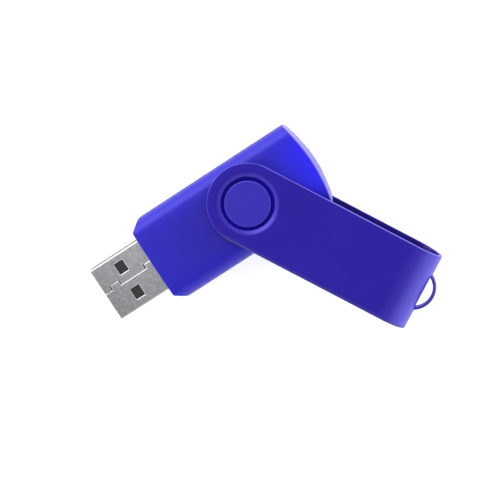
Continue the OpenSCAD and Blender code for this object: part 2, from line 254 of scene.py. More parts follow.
@contextmanager
def edited(mesh):
    """Mesh as a bmesh, written back at the end."""
    work = bmesh.new()
    work.from_mesh(mesh)
    yield work
    work.to_mesh(mesh)
    work.free()


class Builder:
    """Collects the points and faces of one closed surface, in millimetres."""

    def __init__(self):
        self.points, self.faces = [], []

    def ring(self, points):
        """Adds points, and returns their numbers."""
        start = len(self.points)
        self.points += [Vector(p) for p in points]
        return list(range(start, len(self.points)))

    def bridge(self, a, b):
        """Faces between two rings with the same number of points."""
        for i in range(len(a)):
            j = (i + 1) % len(a)
            self.faces.append((a[i], a[j], b[j], b[i]))

    def stack(self, rings):
        """Joins rings of points one after another, and returns the first and the last of them."""
        made = [self.ring(r) for r in rings]
        for a, b in zip(made, made[1:]):
            self.bridge(a, b)
        return made[0], made[-1]

    def solid(self, rings):
        """Joins rings of points one after another, and closes both ends."""
        self.faces += [tuple(end) for end in self.stack(rings)]

    def fill(self, loops, flat, lift, extra=()):
        """Fills the area inside the first loop and outside the others with triangles.

        flat gives each loop's points in the plane, extra adds points inside, and lift places them."""
        known = [i for loop in loops for i in loop]
        plane = [Vector(p) for points in flat for p in points]
        edges, start = [], 0
        for loop in loops:
            n = len(loop)
            edges += [(start + i, start + (i + 1) % n) for i in range(n)]
            start += n
        spare = [Vector(p) for p in extra if inside(p, flat[0]) and
                 not any(inside(p, hole) for hole in flat[1:])]
        inside_only, tolerance = 1, 1e-6
        verts, _, faces, origin, _, _ = delaunay_2d_cdt(plane + spare, edges, [], inside_only, tolerance)
        index = {}
        for i, source in enumerate(origin):
            fixed = [s for s in source if s < len(known)]
            index[i] = known[fixed[0]] if fixed else None
        for face in faces:
            middle = sum((verts[i] for i in face), Vector((0, 0))) / len(face)
            if any(inside(middle, hole) for hole in flat[1:]):
                continue
            for i in face:
                if index[i] is None:
                    index[i] = len(self.points)
                    self.points.append(Vector(lift(*verts[i])))
            self.faces.append(tuple(index[i] for i in face))

    def mesh(self, name):
        """Mesh in metres with its faces turned outwards."""
        mesh = bpy.data.meshes.new(name)
        mesh.from_pydata([p * MM for p in self.points], [], self.faces)
        with edited(mesh) as work:
            bmesh.ops.recalc_face_normals(work, faces=work.faces)
        return mesh


def inside(point, loop):
    """Whether a point is inside a closed outline, by the sides that lie to its right."""
    x, y = point[0], point[1]
    hit = False
    for (ax, ay), (bx, by) in zip(loop, list(loop[1:]) + [loop[0]]):
        if (ay > y) != (by > y) and x < (bx - ax) * (y - ay) / (by - ay) + ax:
            hit = not hit
    return hit


def circle(radius, z=None, steps=ROUND_STEPS, centre=(0, 0)):
    """Points round a circle, in the plane or at height z."""
    turns = [2 * math.pi * i / steps for i in range(steps)]
    flat = [(centre[0] + radius * math.cos(t), centre[1] + radius * math.sin(t)) for t in turns]
    return flat if z is None else [(x, y, z) for x, y in flat]


def spread(start, end, step):
    """Even numbers from start to end, about a step apart."""
    count = max(1, math.ceil(abs(end - start) / step - 1e-9))
    return [start + (end - start) * i / count for i in range(count + 1)]


def quarter(steps):
    """Sine and cosine pairs over a quarter turn."""
    return [(math.sin(a), math.cos(a)) for a in spread(0, math.pi / 2, math.pi / 2 / steps)]


def offset_loop(loop, distance):
    """Moves a closed outline to its left, keeping its corners."""
    result = []
    for i, here in enumerate(loop):
        before, after = Vector(loop[i - 1]), Vector(loop[(i + 1) % len(loop)])
        here = Vector(here)
        first, second = (here - before).normalized(), (after - here).normalized()
        a, b = Vector((-first.y, first.x)), Vector((-second.y, second.x))
        result.append(tuple(here + distance * (a + b) / (1 + a.dot(b))))
    return result


def round_corners(corners, radius, steps=4):
    """Outline with rounded corners through the given corner points."""
    loop = []
    for i, corner in enumerate(corners):
        corner = Vector(corner)
        back = (Vector(corners[i - 1]) - corner).normalized()
        ahead = (Vector(corners[(i + 1) % len(corners)]) - corner).normalized()
        half = back.angle(ahead) / 2
        reach = radius / math.tan(half)
        centre = corner + (back + ahead).normalized() * radius / math.sin(half)
        start, end = corner + back * reach - centre, corner + ahead * reach - centre
        sweep = start.angle_signed(end)
        for k in range(steps + 1):
            a = -sweep * k / steps
            loop.append((centre.x + start.x * math.cos(a) - start.y * math.sin(a),
                         centre.y + start.x * math.sin(a) + start.y * math.cos(a)))
    return loop


def sheet(builder, outline, holes, thickness, roll, place, grid=(), rims=(), steps=3):
    """Cuts a flat sheet with rounded edges, and places each point with place(s, v, depth).

    holes are outlines the other way round. roll is the width and depth of the outer face's rounded edge.
    rims are holes whose edge is drawn inwards, each given as its centre and the list of its
    (radius, depth) from the outer face to the inner one."""
    edge = [(roll[0] * (1 - s), roll[1] * (1 - c)) for s, c in quarter(steps)]
    edge += [(roll[1] * (1 - s), thickness - roll[1] * (1 - c)) for s, c in reversed(quarter(steps))]
    walls = [[(offset_loop(loop, inset), depth) for inset, depth in edge] for loop in [outline, *holes]]
    walls += [[(circle(r, centre=centre), depth) for r, depth in profile] for centre, profile in rims]
    ends = [builder.stack([[place(s, v, depth) for s, v in flat] for flat, depth in rings])
            for rings in walls]
    for face, depth in ((0, 0), (-1, thickness)):
        builder.fill([end[face] for end in ends], [rings[face][0] for rings in walls],
                     lambda s, v: place(s, v, depth), grid)


def solid_box(builder, low, high):
    corners = [(low[0], low[1]), (high[0], low[1]), (high[0], high[1]), (low[0], high[1])]
    builder.solid([[(x, y, z) for x, y in corners] for z in (low[2], high[2])])


def solid_round(builder, centre, radius, z0, z1, steps=POST_STEPS, edge=0):
    """Upright cylinder, with a small bevel at its top."""
    rings = [circle(radius, z0, steps, centre), circle(radius, z1 - edge, steps, centre)]
    if edge:
        rings.append(circle(radius - edge, z1, steps, centre))
    builder.solid(rings)


def add_object(name, data):
    """New object in the scene."""
    thing = bpy.data.objects.new(name, data)
    bpy.context.scene.collection.objects.link(thing)
    return thing


def evaluated(tool):
    """Mesh of an object with its modifiers applied. The object is removed."""
    graph = bpy.context.evaluated_depsgraph_get()
    mesh = bpy.data.meshes.new_from_object(tool.evaluated_get(graph))
    old = tool.data
    bpy.data.objects.remove(tool)
    bpy.data.meshes.remove(old)
    return mesh


def combine(mesh, other, operation):
    """Exact boolean of two closed meshes."""
    target, tool = add_object(mesh.name, mesh), add_object(other.name, other)
    modifier = target.modifiers.new("combine", "BOOLEAN")
    modifier.operation, modifier.solver, modifier.object = operation, "EXACT", tool
    result = evaluated(target)
    bpy.data.objects.remove(tool)
    bpy.data.meshes.remove(other)
    return result


def clean(mesh):
    """Welds doubled points and drops slivers that a boolean leaves."""
    with edited(mesh) as work:
        bmesh.ops.remove_doubles(work, verts=work.verts, dist=WELD * MM)
        bmesh.ops.dissolve_degenerate(work, edges=work.edges, dist=SLIVER * MM)
        loose = [v for v in work.verts if not v.link_faces]
        bmesh.ops.delete(work, geom=loose, context="VERTS")
        bmesh.ops.recalc_face_normals(work, faces=work.faces)


def mark_wear_and_highlight(mesh):
    """Stores the mask of wear and painted edge highlight: 1 on a sharply rounded convex edge, 0 on flat
    and softly curved faces.
    """
    work = bmesh.new()
    work.from_mesh(mesh)
    values = []
    for point in work.verts:
        bends = [e.calc_face_angle_signed() for e in point.link_edges if len(e.link_faces) == 2]
        worn = (max(bends, default=0) - WEAR_HIGHLIGHT_FROM) / (WEAR_HIGHLIGHT_FULL - WEAR_HIGHLIGHT_FROM)
        values.append(min(1.0, max(0.0, worn)))
    work.free()
    mesh.attributes.new(WEAR_AND_HIGHLIGHT, "FLOAT", "POINT").data.foreach_set("value", values)


def mark(mesh, name, amount):
    """Stores amount(place in millimetres), from 0 to 1, for each point."""
    values = [amount(p.co / MM) for p in mesh.vertices]
    mesh.attributes.new(name, "FLOAT", "POINT").data.foreach_set("value", values)


def in_recess(point):
    """1 in the ring-shaped gap round the boss, below the cover's faces."""
    low, high = RECESS_RADII
    return float(low < point.xy.length < high and abs(point.z - MID) < MID - RECESS_DEPTH)


def finish_piece(name, mesh, body, slot, nodes):
    """Adds a mesh as a shown piece: it rides on a body and stands for CAD nodes."""
    mesh.name = name
    mesh.materials.clear()
    mesh.materials.append(MATERIALS[slot])
    mark_wear_and_highlight(mesh)
    mark(mesh, RECESS, in_recess)
    mesh.polygons.foreach_set("use_smooth", [True] * len(mesh.polygons))
    mesh.set_sharp_from_angle(angle=math.radians(SHARP_ANGLE))
    piece = add_object(name, mesh)
    weighted = piece.modifiers.new("weighted_normals", "WEIGHTED_NORMAL")
    weighted.keep_sharp = True
    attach(piece, body)
    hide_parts(*nodes)
    return piece


# ---- materials ----

# Directions, for masks
ALONG = (1, 0, 0)
ACROSS = (0, 1, 0)
UP = (0, 0, 1)

# Layer weights between which a surface turns away from the eye
TURNED = (0.7, 0.95)


def rgb(r, g, b):
    return (r, g, b, 1.0)


def join(tree, value, socket):
    """Links a value to a socket if it is a socket itself, or else sets it."""
    if isinstance(value, bpy.types.NodeSocket):
        tree.links.new(value, socket)
    else:
        socket.default_value = value


def add_node(tree, kind, links=None, **values):
    """New node, with its own settings as values and its inputs as links."""
    node = tree.nodes.new(kind)
    for name, value in values.items():
        setattr(node, name, value)
    for socket, value in (links or {}).items():
        join(tree, value, node.inputs[socket])
    return node


class Finish:
    """A procedural material on one Principled shader, with its textures in object space."""

    def __init__(self, name, roughness, metallic=0.0, **sockets):
        self.material = bpy.data.materials.new(name)
        self.material.use_nodes = True
        self.tree = self.material.node_tree
        self.shader = self.tree.nodes["Principled BSDF"]
        self.shader.inputs["Roughness"].default_value = roughness
        self.shader.inputs["Metallic"].default_value = metallic
        for socket, value in sockets.items():
            self.shader.inputs[socket.replace("_", " ")].default_value = value
        self.place = self.node("ShaderNodeTexCoord").outputs["Object"]
        self.normal = None

    def node(self, kind, links=None, **values):
        return add_node(self.tree, kind, links, **values)

    def noise(self, size, detail=2.0, stretch=(1, 1, 1)):
        """Noise whose grains are about size millimetres wide, longer along the stretched axes."""
        scale = [1 / (size * MM * s) for s in stretch]
        place = self.node("ShaderNodeMapping", {"Vector": self.place, "Scale": scale}).outputs["Vector"]
        links = {"Vector": place, "Scale": 1.0, "Detail": detail}
        return self.node("ShaderNodeTexNoise", links).outputs["Fac"]

    def along(self, direction, start, end):
        """Value that goes from 0 to 1 between two distances from the origin, in millimetres."""
        place = self.node("ShaderNodeVectorMath", {0: self.place, 1: direction}, operation="DOT_PRODUCT")
        return self.steps(place.outputs["Value"], 0, 1, start * MM, end * MM)

    def steps(self, factor, low, high, start=0.3, end=0.7):
        """Value that goes from low to high as the factor goes from start to end, by default noise."""
        return self.node("ShaderNodeMapRange", {"Value": factor, "From Min": start, "From Max": end,
                                                "To Min": low, "To Max": high}).outputs["Result"]

    def blend(self, factor, first, second):
        """Colour that goes from the first to the second as the factor goes from 0 to 1."""
        node = self.node("ShaderNodeMix", data_type="RGBA")
        for socket, value in (("Factor_Float", factor), ("A_Color", first), ("B_Color", second)):
            join(self.tree, value, next(i for i in node.inputs if i.identifier == socket))
        return next(o for o in node.outputs if o.identifier == "Result_Color")

    def clouds(self, noise, dark, light):
        """Two close colours in clouds."""
        return self.blend(self.steps(noise, 0, 1), rgb(*dark), rgb(*light))

    def layers(self, base, coats):
        """The base with coats over it, each a mask and the colour that shows where it is 1."""
        for mask, colour in coats:
            base = self.blend(mask, base, rgb(*colour))
        return base

    def stored(self, name):
        """Mask stored on the points of the mesh."""
        return self.node("ShaderNodeAttribute", attribute_name=name).outputs["Fac"]

    def feed(self, socket, value):
        """Links a value to one of the shader's own sockets."""
        self.tree.links.new(value, self.shader.inputs[socket])

    def gloss(self, facing, kept):
        """Specular level that falls to 0 where the surface turns away, but not below the mask kept."""
        turned = self.node("ShaderNodeLayerWeight", {"Blend": 0.5}).outputs["Facing"]
        level = self.steps(turned, facing, 0.0, *TURNED)
        links = {0: level, 1: self.stored(kept)}
        level = self.node("ShaderNodeMath", links, operation="MAXIMUM").outputs["Value"]
        self.feed("Specular IOR Level", level)

    def uneven(self, size, low, high, detail=4):
        """Roughness that wanders between two values, in clouds about size millimetres wide."""
        self.feed("Roughness", self.steps(self.noise(size, detail), low, high))

    def bump(self, height, depth):
        """Adds relief, depth millimetres from lowest to highest."""
        links = {"Height": height, "Strength": 1.0, "Distance": depth * MM}
        if self.normal:
            links["Normal"] = self.normal
        self.normal = self.node("ShaderNodeBump", links).outputs["Normal"]
        self.feed("Normal", self.normal)


# Blue plastic: distances from the pivot beyond which the ends brighten as painted light, distances between
# which the sides deepen as painted light, and the width of the darker band at the very side
REAR_FADE = 7
FRONT_FADE = 8
SIDE_FADE = (4, 8.5)
SIDE_BAND = 0.6
BODY_TINT = (0.36, 0.33, 1)
BODY_CLOUDS = ((0.017, 0.014, 0.29), (0.023, 0.018, 0.325))
# Painted light towards the rear and the front ends and on the rounded sides
BODY_REAR_LIGHT = (0.021, 0.018, 0.82)
BODY_FRONT_LIGHT = (0.022, 0.018, 0.41)
BODY_SIDE_LIGHT = (0.014, 0.010, 0.42)
BODY_BAND = (0.012, 0.009, 0.30)
# Painted sheen on the bosses and painted light on the rear face
BODY_BOSS_SHEEN = (0.030, 0.024, 0.36)
BODY_REAR_FACE_LIGHT = (0.13, 0.115, 0.57)
# Worn edges, lighter: partly real wear, partly a painted edge highlight
BODY_WORN_HIGHLIGHT = (0.15, 0.13, 0.74)
BODY_WEAR_HIGHLIGHT = 0.35

# Painted bounce light: brighter blue in the gap round the boss, where plastic and paint light each other
GAP_BOUNCE_LIGHT = (0.008, 0.002, 0.62)


def body_plastic():
    """Satin moulded ABS: flow clouds, bright ends and deep sides of painted light, a pale rear face of
    painted light, painted sheen on the bosses, painted bounce light round the boss, and worn edges with a
    painted highlight.
    """
    finish = Finish("body_plastic", roughness=0.36, Specular_Tint=rgb(*BODY_TINT))
    finish.gloss(facing=0.85, kept=PAINTED_LIGHT)
    pale = finish.stored(PAINTED_LIGHT)
    # Painted light: brighter towards the rear and the front ends, and on the rounded sides
    coats = [(finish.along(ALONG, -REAR_FADE, -BODY_REAR), BODY_REAR_LIGHT),
             (finish.along(ALONG, FRONT_FADE, BODY_FRONT), BODY_FRONT_LIGHT)]
    for side in (1, -1):
        outwards = (0, side, 0)
        coats += [(finish.along(outwards, *SIDE_FADE), BODY_SIDE_LIGHT),
                  (finish.along(outwards, BODY_W / 2 - SIDE_BAND, BODY_W / 2), BODY_BAND)]
    # Painted sheen on the bosses, painted light on the rear face, painted bounce light in the gap round
    # the boss, and worn edges with a painted edge highlight
    coats += [(finish.steps(pale, 0, 1, 0, BOSS_PAINTED_SHEEN), BODY_BOSS_SHEEN),
              (finish.steps(pale, 0, 1, BOSS_PAINTED_SHEEN, 1), BODY_REAR_FACE_LIGHT),
              (finish.stored(RECESS), GAP_BOUNCE_LIGHT),
              (finish.steps(finish.stored(WEAR_AND_HIGHLIGHT), 0, BODY_WEAR_HIGHLIGHT, 0, 1), BODY_WORN_HIGHLIGHT)]
    base = finish.clouds(finish.noise(size=9, detail=3), *BODY_CLOUDS)
    finish.feed("Base Color", finish.layers(base, coats))
    finish.uneven(size=0.9, low=0.31, high=0.41)
    finish.bump(finish.noise(size=0.16), depth=0.004)
    return finish.material


# Blue enamel: how long the bend's pale stretch of painted reflection is, the dim band of painted grey
# reflection at one edge, the bright line of painted highlight at the other edge of the upper leg, and
# where the loop's colour begins past the closed end
BEND_FADE = 6.5
DIM_BAND = 0.8
LINE_BAND = (0.2, 0.05)
LINE_RISE = 2
LOOP_FADE = (0.1, 0.5)
COVER_TINT = (0.6, 0.55, 1)
COVER_CLOUDS = ((0.015, 0.005, 0.325), (0.020, 0.007, 0.36))
# Painted reflection over the bend, and painted grey reflection along one edge
COVER_BEND_REFLECTION = (0.075, 0.064, 0.56)
COVER_DIM_REFLECTION = (0.058, 0.048, 0.24)
# Painted shade on the inner faces
COVER_INSIDE_SHADE = (0.016, 0.006, 0.20)
# Painted highlight along the upper leg's edge
COVER_EDGE_HIGHLIGHT = (0.13, 0.11, 0.60)
# Worn edges, lighter: partly real wear, partly a painted edge highlight
COVER_WORN_HIGHLIGHT = (0.15, 0.12, 0.92)
COVER_WEAR_HIGHLIGHT = 0.5
COVER_LOOP = (0.058, 0.048, 0.38)


def cover_paint():
    """Dark blue enamel on steel: fine grain, paler over the bend as painted reflection, paler at worn
    edges with a painted highlight, and darker inside as painted shade.
    """
    finish = Finish("cover_paint", roughness=0.34, metallic=0.25, Specular_Tint=rgb(*COVER_TINT))
    finish.gloss(facing=1.0, kept=PAINTED_LIGHT)
    x, y = math.cos(REST_ANGLE), math.sin(REST_ANGLE)
    out, left, right = (x, y, 0), (-y, x, 0), (y, -x, 0)
    side = COVER_W / 2
    # Painted reflection over the bend, painted grey reflection along one edge, painted shade on the inner
    # faces and painted bounce light in the gap round the boss
    base = finish.layers(finish.clouds(finish.noise(size=11, detail=3), *COVER_CLOUDS), [
        (finish.along(out, COVER_LEN - BEND_FADE, COVER_LEN), COVER_BEND_REFLECTION),
        (finish.along(right, side - DIM_BAND, side), COVER_DIM_REFLECTION),
        (finish.stored(INNER), COVER_INSIDE_SHADE),
        (finish.stored(RECESS), GAP_BOUNCE_LIGHT)])
    # Painted highlight: a bright line along the upper leg's edge
    line = finish.along(left, side - LINE_BAND[0], side - LINE_BAND[1])
    lined = finish.layers(base, [(line, COVER_EDGE_HIGHLIGHT)])
    base = finish.blend(finish.along(UP, MID, MID + LINE_RISE), base, lined)
    loop = finish.along(out, COVER_LEN + LOOP_FADE[0], COVER_LEN + LOOP_FADE[1])
    # Worn edges with a painted edge highlight
    finish.feed("Base Color", finish.layers(base, [
        (finish.steps(finish.stored(WEAR_AND_HIGHLIGHT), 0, COVER_WEAR_HIGHLIGHT, 0, 1), COVER_WORN_HIGHLIGHT), (loop, COVER_LOOP)]))
    finish.uneven(size=0.7, low=0.29, high=0.39)
    finish.bump(finish.noise(size=0.11), depth=0.003)
    return finish.material


# Plug steel: as painted shade, it dims between two distances from the tip, across the sheet and on its two
# sides, where the sheen at a flat angle is all but gone
TIP_FADE = (-10, 6)
STEEL_CLOUDS = ((0.78, 0.78, 0.82), (0.96, 0.96, 1.0))
STEEL_SPECKLE = (0.38, 0.62)
# Painted shade towards the tip, across the sheet and on the folds and sides
STEEL_TIP_SHADE = (0.56, 0.56, 0.585)
STEEL_ACROSS_SHADE = (0.44, 0.44, 0.46)
STEEL_SIDE_SHADE = {1: 0.30, -1: 0.42}
SIDE_SHEEN = 0.03
TIP_SHEEN = 0.1


def plug_steel():
    """Nickel-plated sheet with a fine matt speckle and faint rolling lines, with painted shade towards the
    tip and across it, and darker, duller folds and sides as painted shade.
    """
    finish = Finish("plug_steel", roughness=0.36, metallic=1.0)
    speckle = finish.noise(size=0.22, detail=3)
    lines = finish.noise(size=0.12, stretch=(40, 1, 1))
    low, high = (rgb(*colour) for colour in STEEL_CLOUDS)
    # Painted shade: darker towards the tip and across the sheet
    base = finish.layers(finish.blend(finish.steps(speckle, 0, 1, *STEEL_SPECKLE), low, high), [
        (finish.along(ALONG, TIP + TIP_FADE[0], TIP + TIP_FADE[1]), STEEL_TIP_SHADE),
        (finish.along(ACROSS, -PLUG_W / 2, 2 * PLUG_W), STEEL_ACROSS_SHADE)])
    sheen = rgb(1, 1, 1)
    # Painted shade on the folds and sides, where the sheen at a flat angle is also turned down
    for side, shaded in STEEL_SIDE_SHADE.items():
        folded = finish.along((0, side, 0), PLUG_W / 2 - PLUG_CORNER, PLUG_W / 2 - PLUG_CORNER / 2)
        base = finish.layers(base, [(folded, 3 * (shaded,))])
        sheen = finish.layers(sheen, [(folded, 3 * (SIDE_SHEEN,))])
    sheen = finish.layers(sheen, [(finish.along(ALONG, TIP - PLUG_ROLL[0], TIP), 3 * (TIP_SHEEN,))])
    finish.feed("Base Color", base)
    finish.feed("Specular Tint", sheen)
    finish.uneven(size=0.5, low=0.28, high=0.42)
    finish.bump(lines, depth=0.0015)
    finish.bump(speckle, depth=0.004)
    return finish.material


def plain(name, dark, light, rough, metal=0.0, grain=0.3, relief=0.003, uneven=0.06):
    """Finish of a small part: two close colours in grains, uneven gloss and a slight relief."""
    finish = Finish(name, rough, metal)
    grains = finish.noise(grain, detail=3)
    finish.feed("Base Color", finish.clouds(grains, dark, light))
    finish.uneven(3 * grain, rough - uneven, rough + uneven, detail=3)
    finish.bump(grains, relief)
    return finish.material


# Linear colours, with grain and relief in millimetres
SMALL_PARTS = {
    "insulator_plastic": dict(dark=(0.018, 0.018, 0.02), light=(0.03, 0.03, 0.033), rough=0.45, grain=0.2),
    "contact_gold": dict(dark=(0.80, 0.56, 0.22), light=(0.90, 0.67, 0.31), rough=0.24, metal=1.0,
                         grain=0.15, relief=0.001),
    "board_laminate": dict(dark=(0.006, 0.075, 0.03), light=(0.012, 0.115, 0.05), rough=0.33, grain=0.6),
    "pad_gold": dict(dark=(0.78, 0.55, 0.22), light=(0.88, 0.66, 0.32), rough=0.3, metal=1.0,
                     grain=0.12, relief=0.002),
    "chip_epoxy": dict(dark=(0.014, 0.014, 0.015), light=(0.026, 0.026, 0.027), rough=0.55,
                       grain=0.1, relief=0.006),
    "tinned_leads": dict(dark=(0.56, 0.56, 0.57), light=(0.70, 0.70, 0.71), rough=0.3, metal=1.0,
                         grain=0.1, relief=0.002),
    "ceramic_base": dict(dark=(0.42, 0.36, 0.28), light=(0.52, 0.46, 0.37), rough=0.6, grain=0.15),
    "lid_steel": dict(dark=(0.58, 0.56, 0.52), light=(0.70, 0.68, 0.64), rough=0.28, metal=1.0,
                      grain=0.2, relief=0.002),
    "capacitor_ceramic": dict(dark=(0.30, 0.20, 0.12), light=(0.38, 0.27, 0.17), rough=0.5, grain=0.1),
    "resistor_film": dict(dark=(0.012, 0.012, 0.014), light=(0.022, 0.022, 0.026), rough=0.35, grain=0.1),
    "led_lens": dict(dark=(0.75, 0.72, 0.55), light=(0.86, 0.83, 0.66), rough=0.2, relief=0.001),
    "solder": dict(dark=(0.56, 0.56, 0.57), light=(0.72, 0.72, 0.73), rough=0.27, metal=1.0,
                   relief=0.006),
}
MATERIALS = {"body_plastic": body_plastic(), "cover_paint": cover_paint(), "plug_steel": plug_steel()}
MATERIALS.update({name: plain(name, **look) for name, look in SMALL_PARTS.items()})

# ---- plastic body ----


def body_section(inset, groove):
    """Half section above the parting line, from the +Y side over the crown: (y, z, inward normal)."""
    side, edge, crown = BODY_W / 2 - inset, EDGE_R - inset, CROWN_R - inset
    crown_z = BODY_H / 2 - CROWN_R
    centre_y = BODY_W / 2 - EDGE_R
    centre_z = crown_z + math.sqrt((CROWN_R - EDGE_R) ** 2 - centre_y ** 2)
    tilt = math.asin(centre_y / (CROWN_R - EDGE_R))
    groove_rows = [(side - PARTING, 0, 0), (side, PARTING, 0), (side, 2 * PARTING, 0)]
    half = groove_rows if groove else [(side, -CUT, 0), (side, HOLLOW_ROW, 0)]
    half += [(side, z, 0) for z in SIDE_ROWS]
    half += [(centre_y + edge * math.cos(a), centre_z + edge * math.sin(a), a)
             for a in spread(0, math.pi / 2 - tilt, EDGE_STEP)]
    half += [(crown * math.sin(t), crown_z + crown * math.cos(t), math.pi / 2 - t)
             for t in spread(tilt, 0, CROWN_STEP)[1:]]
    points = [(y, z - soft_drop(y, z), (-math.cos(a), -math.sin(a))) for y, z, a in half]
    return points + [(-y, z, (-n[0], n[1])) for y, z, n in reversed(points[:-1])]


def soft_drop(y, z):
    """How far the crown falls off early, so that it runs softly into the rounded sides."""
    across = max(0, abs(y) - SOFT_FROM) / (BODY_W / 2 - SOFT_FROM)
    return SOFT_DROP * across ** 2 * max(0, z) / (BODY_H / 2)


def crown_height(y):
    z = BODY_H / 2 - CROWN_R + math.sqrt(CROWN_R ** 2 - y ** 2)
    return z - soft_drop(y, z)


def rear_x(y, z, inset, groove):
    """X of the rear face: rounder at the parting line than at the top."""
    def arc(radius, back):
        return radius - back + inset - math.sqrt(radius ** 2 - y ** 2)
    part, top = arc(REAR_R, BODY_REAR), arc(REAR_TOP_R, BODY_REAR - REAR_BACK)
    notch = max(0, PARTING - z) if groove else 0
    return part + (top - part) * max(0, z) / (BODY_H / 2) + notch


def front_x(y, z, inset, groove):
    """X of the front face with its chamfered corners."""
    over = abs(y) - (BODY_W / 2 - CORNER_DEP) + inset / 2
    if over > -CORNER_SOFT:
        over = (over + CORNER_SOFT) ** 2 / (4 * CORNER_SOFT) if over < CORNER_SOFT else over
    else:
        over = 0
    notch = max(0, PARTING - z) if groove else 0
    return BODY_FRONT - inset - over * CORNER_LEN / CORNER_DEP - notch


# End faces: form, rounded edge and the way each one faces
ENDS = {"front": (front_x, FRONT_EDGE, 1), "rear": (rear_x, REAR_EDGE, -1)}


def end_rings(end, section, inset, groove):
    """Rings over the rounded edge of an end face, from the sides to the face."""
    face, size, sign = ENDS[end]
    rings = []
    for s, c in quarter(5):
        inward = size * (1 - c)
        flat = [(y + n[0] * inward, z + n[1] * inward) for y, z, n in section]
        rings.append([(face(y, z, inset, groove) - sign * size * (1 - s), y, z) for y, z in flat])
    return rings


def close_end(builder, end, ring, base, inset, groove):
    """Fills an end face inside a ring, and returns the points along its lower side."""
    face = ENDS[end][0]
    flat = [(builder.points[i].y, builder.points[i].z) for i in ring]
    low = spread(flat[-1][0], flat[0][0], END_STEP)[1:-1]
    bottom = builder.ring([(face(y, base, inset, groove), y, base) for y in low])
    grid = [(y, z) for y in low for z in END_ROWS]
    builder.fill([ring + bottom], [flat + [(y, base) for y in low]],
                 lambda y, z: (face(y, z, inset, groove), y, z), grid)
    return bottom


def body_half(name, inset=0, outside=True):
    """Closed half of the body's form above the parting line, outside with its boss and groove."""
    builder = Builder()
    section = body_section(inset, outside)
    front = list(reversed(end_rings("front", section, inset, outside)))
    beside = [[(x, y, z) for y, z, _ in section] for x in (PATCH, -PATCH)]
    made = [builder.ring(r) for r in front + beside + end_rings("rear", section, inset, outside)]
    patch = (made[len(front)], made[len(front) + 1])
    for a, b in zip(made, made[1:]):
        for i in range(len(section) - 1):
            y = (section[i][0] + section[i + 1][0]) / 2
            if not (outside and a is patch[0] and abs(y) < PATCH):
                builder.faces.append((a[i], a[i + 1], b[i + 1], b[i]))
    base = section[0][1]
    front_low = close_end(builder, "front", made[0], base, inset, outside)
    rear_low = close_end(builder, "rear", made[-1], base, inset, outside)
    one_side, other_side = [r[0] for r in made], [r[-1] for r in reversed(made)]
    builder.faces.append(tuple(one_side + list(reversed(rear_low)) + other_side + front_low))
    if outside:
        pivot_patch(builder, *patch, section)
    return builder.mesh(name)


def pivot_patch(builder, near, away, section):
    """Top of the body around the pivot: the annular groove and the round boss."""
    kept = [i for i in range(len(section) - 1) if abs(section[i][0] + section[i + 1][0]) / 2 < PATCH]
    span = [kept[0]] + [i + 1 for i in kept]
    loop = [near[i] for i in span] + [away[i] for i in reversed(span)]
    flat = [(builder.points[i].x, builder.points[i].y) for i in loop]

    rim = [(GROOVE_R + GROOVE_EDGE * (1 - s), GROOVE_EDGE * (1 - c)) for s, c in quarter(4)]
    rings = [[(x, y, crown_height(y) - drop) for x, y in circle(r)] for r, drop in rim]
    rings += [circle(GROOVE_R, GROOVE_Z + GROOVE_FOOT), circle(GROOVE_R - GROOVE_FOOT, GROOVE_Z)]
    rings += [circle(BOSS_R + GROOVE_FOOT, GROOVE_Z), circle(BOSS_R, GROOVE_Z + GROOVE_FOOT)]
    rings += [circle(BOSS_R - BOSS_EDGE * (1 - c), MID - BOSS_EDGE * (1 - s)) for s, c in quarter(5)]
    rings += [circle(r, MID) for r in BOSS_RINGS]
    first, last = builder.stack(rings)
    builder.faces.append(tuple(last))
    lines = spread(-PATCH, PATCH, PATCH_STEP)
    grid = [(x, y) for x in lines[1:-1] for y in lines
            if math.hypot(x, y) > GROOVE_R + 2 * GROOVE_EDGE]
    builder.fill([loop, first], [flat, circle(rim[0][0])], lambda x, y: (x, y, crown_height(y)), grid)


def plug_opening():
    """Tool for the opening that the plug's shell passes through."""
    builder = Builder()
    width, height = PLUG_W / 2 + PLUG_FIT, PLUG_H / 2 + PLUG_FIT
    corners = [(width, height), (-width, height), (-width, -height), (width, -height)]
    loop = round_corners(corners, PLUG_CORNER)
    ends = (BODY_FRONT - 3 * CUT, BODY_FRONT + 3 * CUT)
    builder.solid([[(x, y, z) for y, z in loop] for x in ends])
    return builder.mesh("plug_opening")


def lip_plate(outer, low, height):
    """Flat plate inside the walls, between two heights."""
    builder = Builder()
    side = BODY_W / 2 - outer
    ys = spread(side, -side, LIP_STEP)
    loop = [(front_x(y, 0, outer, False), y) for y in ys]
    loop += [(rear_x(y, 0, outer, False), y) for y in reversed(ys)]
    builder.solid([[(x, y, z) for x, y in loop] for z in (low, height)])
    return builder.mesh("lip_plate")


def inner_fittings(board_z):
    """Solid parts that stand in the hollow of a half: pivot seat, posts and board ribs."""
    builder = Builder()
    solid_round(builder, (0, 0), SEAT_R, SEAT_Z, FAR, CORE_STEPS)
    for peg in PEGS:
        solid_round(builder, peg, POST_R, -2 * CUT, FAR)
    for x, y in RIBS:
        low = (x - RIB_SIZE[0] / 2, y - RIB_SIZE[1] / 2, board_z)
        solid_box(builder, low, (x + RIB_SIZE[0] / 2, y + RIB_SIZE[1] / 2, FAR))
    return builder.mesh("inner_fittings")


def rounds(name, centres, radius, height, steps, edge=0):
    """Upright cylinders from below the parting line up to a height."""
    builder = Builder()
    for centre in centres:
        solid_round(builder, centre, radius, -CUT, height, steps, edge)
    return builder.mesh(name)


def lip_ring(outer, inner, height):
    """Ring that stands between two insets from the body's form."""
    hole = lip_plate(inner, -2 * CUT, height + CUT)
    return combine(lip_plate(outer, -CUT, height), hole, "DIFFERENCE")


